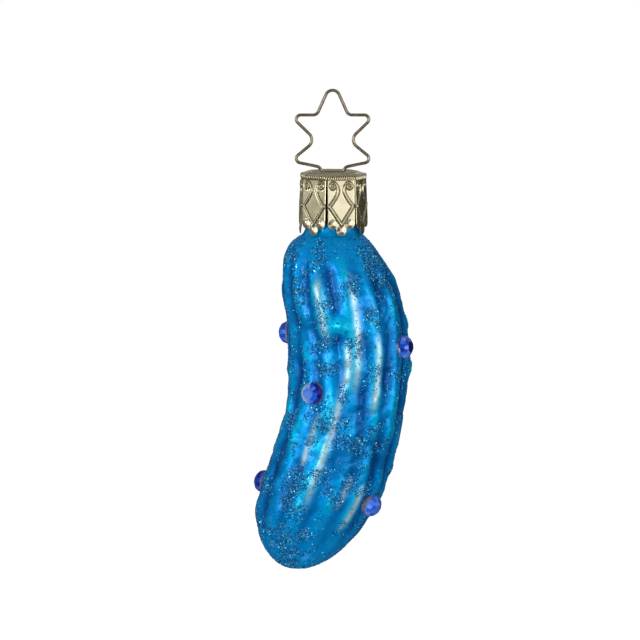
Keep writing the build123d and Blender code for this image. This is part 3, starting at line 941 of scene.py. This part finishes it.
for drop, first, end_drop, last, rise in RIDGES:
    share = (below / MM - drop) / (end_drop - drop)
    path = math.radians(first) + math.radians(last - first) * share
    run = share.ramp(0.0, RIDGE_END) * (1.0 - share).ramp(0.0, RIDGE_END)
    off = (half * facing.away_from(path)) ** 2.0
    relief = relief + rise * MM * run * off.bell(RIDGE_HALF_WIDTH * MM)
    if rise >= CREST_LEAST:
        crest = crest + run * off.bell(CREST_HALF_WIDTH * MM)
for drop, angle, rise in WARTS:
    relief = relief + rise * MM * round_spot(facing, below, half, drop, angle, WART_WIDTH)
swell = 0.0 * z
for drop, angle, rise, reach in SWELLS:
    swell = swell + rise * MM * round_spot(facing, below, half, drop, angle, reach)
radius = half + relief + swell * calm * (foot_drop / (SWELL_FADE * MM)).ramp()
print("with its relief it takes", len(tree.nodes), "nodes")

# %% Set the points and store what the finishes read
depth = 1.0 + (DEPTH_RATIO - 1.0) * (foot_drop / (RIB_FADE * MM)).ramp()
place = xyz(tree, centre + radius * facing.sin(), depth * radius * facing.cos() * -1.0, z)
kept = {
    "rib": relief / MM,
    # painted shade on the neck under the cap
    "bare": (size["Tab foot"] + BARE_FROM * MM - z).ramp(0.0, -BARE_FADE * MM),
    "crest": crest,
    "facing": facing,
    "inner": inset / (GLASS_WALL * MM),
}
shaped = geometry
for name, value in kept.items():
    shaped = keep_number(tree, shaped, name, value)
shaped = node(tree, "GeometryNodeSetPosition", shaped, Position=place)
close_tree(tree, node(tree, "GeometryNodeSetShadeSmooth", shaped), blue_lacquer)
glass_body = grow("glass_body", skin, tree, glass_sizes)
low, high = (f([v.co.z for v in glass_body.data.vertices]) for f in (min, max))
print("glass body from", round(low / MM, 2), "to", round(high / MM, 2), "mm")

# %% [markdown]
# ## Glitter
#
# Fine flakes stick to the lacquer in brushed-on patches, thick at the shoulder and the lower
# end and in clusters along the ribs. Distribute Points on Faces scatters them with a density
# that is high inside the patches, and each point gets a thin square flake, tipped a
# little, so that some catch the light and others stay dark.

# %% Where the flakes lie
# drop below the shoulder, facing, half size, all as brushed by hand
PATCHES = [
    (-12.3, -62, 2.6), (-13.5, -20, 2.6), (-11.0, 44, 3.0), (-5.0, -44, 2.4), (-6.6, 13, 1.9),
    (0.0, 28, 2.3), (-3.0, -16, 1.4), (5.5, -23, 1.3), (6.0, 5, 1.9), (10.3, -20, 1.8),
    (12.7, -44, 1.4), (21.5, -57, 2.2), (16.3, -2, 1.1), (21.6, -18, 1.3), (21.5, -1, 1.3),
    (26.3, 28, 2.7), (25.3, -25, 1.3), (25.5, 3, 1.9), (34.0, -31, 2.9), (32.2, -7, 1.4),
    (34.0, 24, 1.8), (35.3, 3, 1.6), (45.9, -38, 3.4), (51.0, -19, 2.6), (44.8, -8, 1.2),
    (38.3, 15, 1.2), (38.9, -33, 1.1), (-8.0, 120, 3.0), (-10.0, -140, 3.2), (4.0, 165, 2.6),
    (-13.0, 66, 2.2), (-6.0, 60, 2.0), (12.0, 118, 2.4), (20.0, -125, 2.8), (26.0, 160, 2.6),
    (36.0, -170, 3.0), (43.0, 110, 2.6),
]
PATCH_REACH, MEAN_RADIUS, CAP_GAP, BASE_COVER = 0.88, 12.5, 0.6, 0.03


def flake_cover(tree):
    """How thick the flakes lie at each place on the glass: about 1 inside a patch."""
    place = tree.nodes.new("GeometryNodeInputPosition")
    below = SHOULDER_Z * MM - xyz_of(tree, "GeometryNodeInputPosition")[2]
    facing = kept_number(tree, "facing")
    brushed = noise(tree, place, scale=540.0, detail=3.0, roughness=0.6)
    specks = noise(tree, place, scale=300.0)
    patch = 0.0 * below
    for drop, angle, reach in PATCHES:
        patch = patch + round_spot(facing, below, MEAN_RADIUS * MM, drop, angle, reach * PATCH_REACH)
    # a coarse brush breaks the patches into clumps, and single flakes stray between them
    clumps = (patch.math("MINIMUM", 1.0) * (3.4 * brushed - 0.9)).ramp(0.36, 0.6)
    strays = 0.7 * (specks + 0.4 * brushed).ramp(0.76, 0.84)
    out_of_cap = below.math("GREATER_THAN", (SHOULDER_Z - TAB_FOOT_Z + CAP_GAP) * MM)
    outside = kept_number(tree, "inner").math("LESS_THAN", 0.01)
    return (clumps + strays + BASE_COVER) * out_of_cap * outside


print("patches of glitter:", len(PATCHES))

# %% A flake, and flakes of one colour
FLAKE_RADIUS, FLAKE_DEPTH, FLAKE_SIDES = 0.17, 0.05, 4
FLAKE_LEAST, FLAKE_MOST = 0.6, 1.15
MOST_TILT = Vector((0.7, 0.7, 3.1))


def chance(tree, low=0.0, high=1.0, seed=0):
    """A random number for each point or face."""
    made = node(tree, "FunctionNodeRandomValue", None, None, low, high, data_type="FLOAT", Seed=seed)
    return Number(tree, made.outputs[1])


def flake_finish(name, bright, dark):
    """Metal foil of one colour, each flake a little different."""
    material, tree, shader = new_material(name, Metallic=0.6, Specular_IOR_Level=0.0)
    scuff = noise(tree, object_place(tree), scale=9000.0, detail=1.0)
    tone = own_number(tree, "tone") + 0.2 * (scuff - 0.5)
    paint = colours(tree, tone, (0.1, dark), (0.9, bright))
    feed(tree, shader, Base_Color=paint, Roughness=0.1 + 0.2 * scuff)
    return material


def glitter(name, seed, thickness, material):
    """Scatters flakes of one colour over the glass, by their count to the square mm of a patch."""
    sizes = {"Seed": seed, "Per square metre": thickness * 1e6, "Flake radius": FLAKE_RADIUS * MM}
    tree, geometry, size = geometry_tree(name, sizes)
    spread = node(tree, "GeometryNodeDistributePointsOnFaces", geometry, Seed=size["Seed"])
    feed(tree, spread, Density=flake_cover(tree) * size["Per square metre"])
    flake = node(tree, "GeometryNodeMeshCylinder", FLAKE_SIDES, Depth=FLAKE_DEPTH * MM)
    feed(tree, flake, Radius=size["Flake radius"])
    tilt = node(tree, "FunctionNodeRandomValue", -MOST_TILT, MOST_TILT, data_type="FLOAT_VECTOR")
    feed(tree, tilt, Seed=size["Seed"])
    tipped = node(tree, "FunctionNodeRotateRotation", spread.outputs["Rotation"], tilt)
    tipped.rotation_space = "LOCAL"
    copies = node(tree, "GeometryNodeInstanceOnPoints", spread, None, flake, Rotation=tipped)
    feed(tree, copies, Scale=chance(tree, FLAKE_LEAST, FLAKE_MOST))
    close_tree(tree, keep_number(tree, copies, "tone", chance(tree), "INSTANCE"), material)
    return grow(name, glass_body.data.copy(), tree, sizes)


# %% Three colours of flakes
# seed, flakes to the square mm, bright colour, dark colour
FLAKES = {
    "silver": (3, 11.0, (0.22, 0.8, 1.0), (0.0, 0.42, 0.85)),
    "teal": (5, 9.0, (0.01, 0.3, 0.6), (0.0, 0.04, 0.14)),
    "blue": (7, 12.0, (0.01, 0.16, 0.65), (0.0, 0.02, 0.13)),
}
glitter_pieces = []
for colour, (seed, thickness, bright, dark) in FLAKES.items():
    foil = flake_finish(colour + "_flake", bright, dark)
    glitter_pieces.append(glitter("glitter_" + colour, seed, thickness, foil))

# %% [markdown]
# ## The cut stones
#
# Five flat-backed stones with a foiled back are glued to the glass. A cutter grinds one ring
# of flats after another into a blank, and the same is done here: a sixteen-sided blank is cut
# by planes. A tree then seats the stone and gives each facet its own tone, a painted reflection
# of the foil behind a cut stone, with the table's tone set for each stone. The front stone is
# also painted paler to the left, where the light stands.

# %% Cut one stone
STONE_RADIUS, STONE_GIRDLE, STONE_HEIGHT, STONE_SIDES = 2.35, 0.35, 1.75, 16
STONE_BREAK, STONE_TABLE_RADIUS = (1.95, 1.15), 1.2
CUT_TOLERANCE = 1e-8
half_step = math.pi / STONE_SIDES
stone = bmesh.new()
rod(stone, STONE_SIDES, STONE_RADIUS, STONE_HEIGHT)
bmesh.ops.translate(stone, verts=stone.verts, vec=(0, 0, STONE_HEIGHT / 2 * MM))
flat_radius = STONE_RADIUS * math.cos(half_step)
# number of facets, first angle, then radius and height of a facet's foot and of its head
RINGS = [
    (STONE_SIDES, half_step, (flat_radius, STONE_GIRDLE), STONE_BREAK),
    (8, 0.0, (1.97, 1.13), (STONE_TABLE_RADIUS, STONE_HEIGHT)),
    (8, math.pi / 8, (1.42, 1.55), (1.12, STONE_HEIGHT)),
]
for facets, first, (foot_r, foot_z), (head_r, head_z) in RINGS:
    slope = math.atan2(head_z - foot_z, foot_r - head_r)
    for facet in range(facets):
        angle = first + 2 * math.pi * facet / facets
        out = Vector((math.cos(angle), math.sin(angle), 0))
        normal = out * math.sin(slope) + Vector((0, 0, math.cos(slope)))
        cut = bmesh.ops.bisect_plane(
            stone,
            geom=stone.verts[:] + stone.edges[:] + stone.faces[:],
            dist=CUT_TOLERANCE,
            plane_co=(out * foot_r + Vector((0, 0, foot_z))) * MM,
            plane_no=normal,
            clear_outer=True,
        )
        edges = [e for e in cut["geom_cut"] if isinstance(e, bmesh.types.BMEdge)]
        bmesh.ops.contextual_create(stone, geom=edges)
bmesh.ops.recalc_face_normals(stone, faces=stone.faces)
stone_mesh = bpy.data.meshes.new("stone")
stone.to_mesh(stone_mesh)
print("a stone has", len(stone.faces), "facets")
stone.free()


# %% The stone's finish
def foiled_glass():
    """Blue cut glass with a foiled back: each facet's tone is a painted reflection of the light its foil
    throws back.
    """
    material, tree, shader = new_material(
        "foiled_stone", Metallic=0.3, Specular_IOR_Level=0.1, Coat_Weight=0.4, Coat_Roughness=0.02
    )
    cloud = noise(tree, object_place(tree), scale=700.0)
    paint = colours(
        tree,
        own_number(tree, "facet") + 0.25 * (cloud - 0.5),
        (0.05, (0.01, 0.01, 0.25)),
        (0.5, (0.02, 0.16, 1.0)),
        (0.95, (0.45, 0.7, 1.0)),
    )
    feed(tree, shader, Base_Color=paint, Roughness=0.04 + 0.06 * cloud)
    return material


foiled_stone = foiled_glass()
print("finish of the stones:", foiled_stone.name)


# %% Where the stones sit
def seat_of(name):
    """Middle of a stone's flat back, its way out of the glass, and the way to its rim."""
    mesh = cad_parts[name].data
    flats = {}
    for face in mesh.polygons:
        flats.setdefault(tuple(round(v, 2) for v in face.normal), []).append(face)
    back = max(flats.values(), key=lambda faces: sum(face.area for face in faces))
    outline = [mesh.vertices[v].co for face in back for v in face.vertices]
    middle = (Vector(map(min, *outline)) + Vector(map(max, *outline))) / 2
    up = -back[0].normal
    rim = max(outline, key=lambda point: (point - middle).length) - middle
    return middle, up, rim.cross(up).cross(up).normalized() * -1


seats = {place: seat_of("crystal_" + place) for place in STONES}
for place, (middle, up, rim) in seats.items():
    print(place, "stone sits at", [round(v / MM, 1) for v in middle], "mm")

# %% Seat the stones
# painted reflections of the foil: tone of the table, mean tone of the other facets, spread of their tones,
# and painted light: rise of the tone to the left
TONES = {
    "front": (0.6, 0.9, 0.5, 1.0),
    "upper_right": (0.0, 0.5, 0.9, 0.0),
    "lower_right": (0.58, 0.56, 0.2, 0.0),
    "upper_left": (0.35, 0.4, 0.6, 0.0),
    "lower_left": (0.3, 0.3, 0.6, 0.0),
}
FIRST_SEED, TABLE_LEVEL = 4, 0.99
mark(stone_mesh, "table", [float(face.normal.z > TABLE_LEVEL) for face in stone_mesh.polygons], "FACE")
stone_pieces = {}
for seed, (place, (middle, up, rim)) in enumerate(seats.items(), FIRST_SEED):
    turn = Matrix((rim, up.cross(rim), up)).transposed().to_euler()
    stone_sizes = {"Place": tuple(middle), "Turn": tuple(turn), "Seed": seed, "Axis": up.x}
    stone_sizes.update(zip(("Table tone", "Facet tone", "Spread", "Lean"), TONES[place]))
    tree, blank, size = geometry_tree("stone " + place, stone_sizes)
    seated = node(tree, "GeometryNodeTransform", blank)
    feed(tree, seated, Translation=size["Place"], Rotation=size["Turn"])
    leftward = size["Axis"] - xyz_of(tree, "GeometryNodeInputNormal")[0]
    tone = size["Facet tone"] + size["Spread"] * (chance(tree, seed=size["Seed"]) - 0.5)
    # painted light: facets that face left are painted paler
    tone = tone + size["Lean"] * leftward
    table = kept_number(tree, "table")
    tone = table * size["Table tone"] + (1.0 - table) * tone
    close_tree(tree, keep_number(tree, seated, "facet", tone, "FACE"), foiled_stone)
    stone_pieces[place] = grow("stone_" + place, stone_mesh.copy(), tree, stone_sizes)

# %% [markdown]
# ## The glue
#
# Dried glue shows as a thin skirt under each stone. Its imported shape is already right, so those
# nodes stay and only get a finish: a grey, cloudy gum, with blue where it is thin.


# %% The glue's finish
def gum():
    """Dried glue with cloudy patches and a few dull spots."""
    material, tree, shader = new_material("dried_glue", Coat_Weight=0.3)
    cloud = noise(tree, object_place(tree), scale=900.0, detail=3.0)
    paint = colours(tree, cloud, (0.3, (0.02, 0.04, 0.12)), (0.7, (0.28, 0.27, 0.3)))
    feed(tree, shader, Base_Color=paint, Roughness=0.3 + 0.3 * cloud)
    bump(tree, shader, cloud, strength=0.2, distance=0.0003)
    return material


dried_glue = gum()
for place in STONES:
    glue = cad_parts["glue_" + place]
    glue.data.materials.clear()
    glue.data.materials.append(dried_glue)
print("glue nodes with a finish:", len(STONES))

# %% [markdown]
# ## Who rides on what
#
# Each visual piece rides on a body of the frame and stands for the imported nodes that it
# replaces, so that the poses of the joints move it.

# %% Ride and replace
ROLES = [
    (star_wire, "hanger", "gold_wire", ["star_hanger"]),
    (cap_top, "cap", "gold_cap", ["crown_cap"]),
    (cap_tabs, "cap", "gold_cap", ["crown_cap"]),
    (cap_flutes, "cap", "gold_cap", ["crown_cap"]),
    (glass_body, "pickle", "lacquered_glass", ["glass_pickle"]),
]
ROLES += [(piece, "pickle", "lacquered_glass", []) for piece in glitter_pieces]
ROLES += [
    (piece, "pickle", "blue_crystal", ["crystal_" + place])
    for place, piece in stone_pieces.items()
]
for piece, body, slot, nodes in ROLES:
    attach(piece, body)
    if nodes:
        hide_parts(*nodes)
print("pieces that ride:", len(ROLES))

# %% [markdown]
# ## Studio
#
# The picture is a shop shot: white all round and soft light from the front. Polished metal
# shows what stands around it, so dark cards all round give the cap and the glass their dark
# edges. The key lamp only lights and shows in no reflection, and a tiny lamp at the left does
# the opposite: it only makes a glint. The floor lies well below the hanging ornament.

# %% World and floor
FLOOR_Z, FLOOR_HALF = -0.16, 3.0
WHITE, GREY = (1.0, 1.0, 1.0, 1.0), (0.35, 0.35, 0.35, 1.0)
world = bpy.data.worlds.new("studio")
scene.world = world
world.use_nodes = True


def seen_share(tree):
    """1 for rays from the camera, a gloss or a clear piece, and 0 for plain lighting."""
    path = tree.nodes.new("ShaderNodeLightPath")
    seen = Number(tree, path.outputs["Is Camera Ray"])
    for label in ("Is Glossy Ray", "Is Transmission Ray"):
        seen = seen.math("MAXIMUM", Number(tree, path.outputs[label]))
    return seen


def floor_finish():
    """Pale floor that keeps a shadow and shows white."""
    material, tree, shader = new_material("pale_floor", Roughness=1.0, Specular_IOR_Level=0.0)
    feed(tree, shader, Base_Color=GREY, Emission_Color=WHITE)
    feed(tree, shader, Emission_Strength=0.3 + 0.6 * seen_share(tree))
    return material


tree = world.node_tree
feed(tree, tree.nodes["Background"], Color=WHITE, Strength=0.3 + 0.7 * seen_share(tree))
square = ((-1, -1), (1, -1), (1, 1), (-1, 1))
points = [(x * FLOOR_HALF / MM, y * FLOOR_HALF / MM, FLOOR_Z / MM) for x, y in square]
floor = new_object("floor", mesh_of("floor", points, [(0, 1, 2, 3)]))
floor.data.materials.append(floor_finish())
print("floor at", FLOOR_Z, "m")

# %% Cards
CARD_STEPS = 25
BLACK = (0.0, 0.0, 0.0, 1.0)
CARD_FOOT, CARD_HEAD, UNDER_Z, TOP_Z = -0.159, 0.30, -0.158, 0.12


def card(name, radius, first, last, low, high, shade, tilt_in=0.0, warm=0.0):
    """A curved grey card round the ornament, from one facing to another."""
    turns = np.radians(np.linspace(first, last, CARD_STEPS))
    points = []
    for level, reach in ((low, radius), (high, radius - tilt_in)):
        points += [(reach * math.sin(a) / MM, -reach * math.cos(a) / MM, level / MM) for a in turns]
    count = len(turns)
    faces = [(p, p + 1, count + p + 1, count + p) for p in range(count - 1)]
    piece = new_object(name, mesh_of(name, points, faces))
    material, tree, shader = new_material(name + "_grey", Roughness=1.0, Specular_IOR_Level=0.0)
    glow = (shade, shade, shade * (1 - warm), 1.0)
    feed(tree, shader, Base_Color=BLACK, Emission_Color=glow, Emission_Strength=1.0)
    piece.data.materials.append(material)
    piece.visible_camera = False
    piece.visible_diffuse = False
    piece.visible_shadow = False
    return piece


# name, radius, first and last facing, foot, head, shade, pull-in of the head
cards = [
    card("card_front", 0.80, -17, 15, CARD_FOOT, CARD_HEAD, 0.08),
    card("card_right", 0.40, 84, 150, CARD_FOOT, CARD_HEAD, 0.045, warm=0.2),
    card("card_left", 0.40, -150, -92, CARD_FOOT, CARD_HEAD, 0.12),
    card("card_left_front", 0.42, -92, -62, CARD_FOOT, CARD_HEAD, 0.27, warm=0.1),
    card("card_back", 0.45, 150, 210, CARD_FOOT, TOP_Z, 0.28, warm=0.2),
    card("card_top", 0.42, -180, 180, TOP_Z, CARD_HEAD, 0.24, 0.40),
    card("card_under", 0.42, -180, 180, UNDER_Z, UNDER_Z, 0.1, 0.41),
]
print("cards round the ornament:", len(cards))


# %% Lamps
MIDDLE = Vector((0.0, 0.0, -0.05))


def lamp(name, place, size, power):
    """A soft rectangular lamp that looks at the middle of the ornament."""
    data = bpy.data.lights.new(name, "AREA")
    data.shape = "RECTANGLE"
    data.size, data.size_y = size
    data.energy = power
    made = new_object(name, data)
    made.location = place
    made.rotation_euler = (MIDDLE - Vector(place)).to_track_quat("-Z", "Y").to_euler()
    made.visible_camera = False
    return made


# name, place, width and height, watts
strip_left = lamp("strip_left", (-0.7, -0.85, 0.1), (0.2, 0.9), 2.2)
strip_right = lamp("strip_right", (0.82, -0.74, 0.1), (0.18, 0.9), 1.3)
glint = lamp("glint", (-0.34, -0.085, 0.03), (0.009, 0.022), 0.07)
glint.visible_diffuse = False
fill_back = lamp("fill_back", (0.3, 1.1, 0.5), (0.8, 0.8), 2.0)
key = lamp("key", (-0.2, -1.0, -0.1), (0.5, 0.5), 6.5)
key.visible_glossy = False
lamps = [strip_left, strip_right, glint, fill_back, key]
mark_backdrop(floor, *cards, *lamps)
print("studio:", len(cards), "cards and", len(lamps), "lamps")

# %% Camera
CAMERA_RISE = math.radians(6.5)
CAMERA_AWAY, PICTURE_WIDTH, SENSOR_WIDTH = 1.0, 0.1331, 36.0
target = Vector((-0.0026, 0.0, -0.0475))
back = Vector((0.0, -math.cos(CAMERA_RISE), math.sin(CAMERA_RISE)))
eye = bpy.data.cameras.new("camera")
eye.sensor_width = SENSOR_WIDTH
eye.lens = SENSOR_WIDTH * CAMERA_AWAY / PICTURE_WIDTH
eye.clip_start, eye.clip_end = 0.01, 20.0
camera = new_object("camera", eye)
camera.location = target + back * CAMERA_AWAY
camera.rotation_euler = (-back).to_track_quat("-Z", "Y").to_euler()
scene.camera = camera
scene.view_settings.view_transform = "Standard"
print("lens", round(eye.lens, 1), "mm")

# %% Sizes
low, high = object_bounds()
print("visual box in mm:", [round(v / MM, 2) for v in (*low, *high)])
